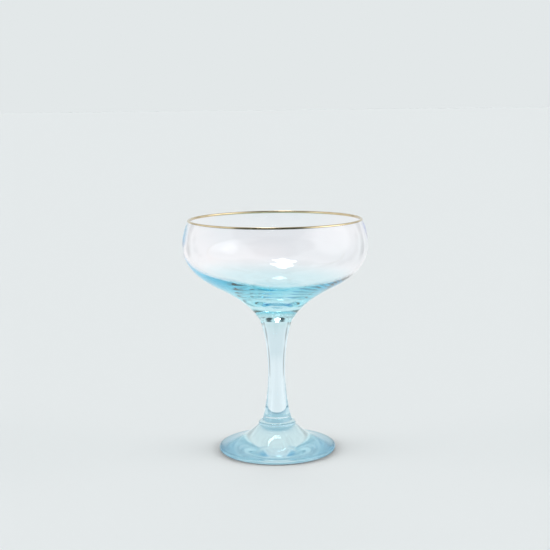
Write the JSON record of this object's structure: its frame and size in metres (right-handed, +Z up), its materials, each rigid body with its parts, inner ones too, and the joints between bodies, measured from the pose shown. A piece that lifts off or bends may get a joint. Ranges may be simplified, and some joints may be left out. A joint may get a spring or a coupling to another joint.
{
  "type": "champagne coupe",
  "caption": "Wide shallow drinking glass with a thick solid base, a waisted solid stem, a domed foot and a fired gold band on the lip.",
  "frame": {"origin": "centre of the ring that the foot stands on, at the level of the table", "axes": "+Z up along the axis that the glass is turned about; the glass is round, so +X and +Y are any two directions across it"},
  "size_m": [0.1042, 0.1042, 0.133],
  "materials": {
    "foot_glass": "clear fire-polished glass with a turquoise body tint",
    "stem_glass": "clear fire-polished glass with a turquoise body tint",
    "bowl_glass": "thin clear glass, turquoise in its thick base and faintly lilac in its wall",
    "gold": "bright fired gold lustre"
  },
  "bodies": {
    "root": {"foot": "foot_glass", "stem": "stem_glass", "bowl": "bowl_glass", "gold_rim": "gold"}
  },
  "joints": []
}
